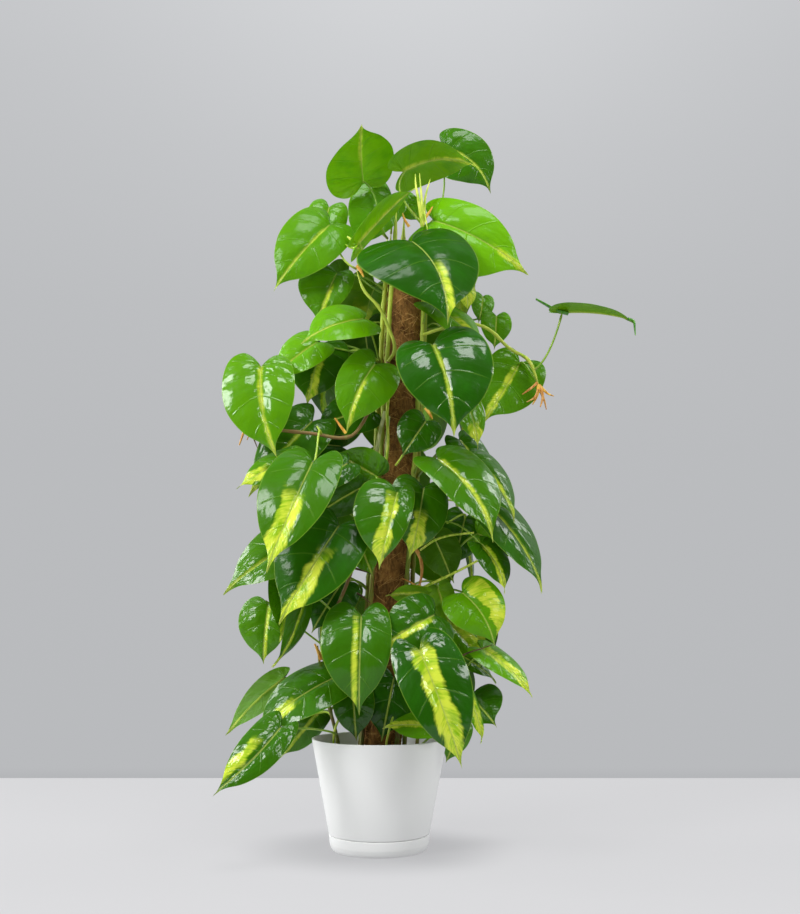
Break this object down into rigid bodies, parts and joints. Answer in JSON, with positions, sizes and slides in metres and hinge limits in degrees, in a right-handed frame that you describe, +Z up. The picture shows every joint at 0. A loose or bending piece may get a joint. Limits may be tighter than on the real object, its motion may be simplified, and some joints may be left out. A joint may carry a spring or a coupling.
{
  "type": "potted philodendron",
  "caption": "Heart-leaved climbing philodendron on an upright coir pole, rooted in soil in a tapered white pot that stands in a low saucer.",
  "frame": {"origin": "centre of the saucer's flat underside", "axes": "+Z up along the plant's height; -Y is the front, where most leaves face; +X is to the right seen from the front"},
  "size_m": [0.466, 0.2578, 0.8478],
  "materials": {
    "pot_white": "satin",
    "soil_dark": "loose, matte",
    "stake_wood": "rough",
    "coir_brown": "fibrous, matte",
    "foliage_green": "glossy, variegated lime and green"
  },
  "bodies": {
    "root": {"pot": "pot_white", "saucer": "pot_white", "potting_soil": "soil_dark", "pole_stake": "stake_wood", "coir_sleeve": "coir_brown", "vine_v1": "foliage_green", "vine_v2": "foliage_green", "vine_v3": "foliage_green", "vine_v4": "foliage_green", "vine_v5": "foliage_green", "vine_v6": "foliage_green", "vine_v7": "foliage_green", "vine_l1": "foliage_green", "vine_l2": "foliage_green"}
  },
  "joints": []
}
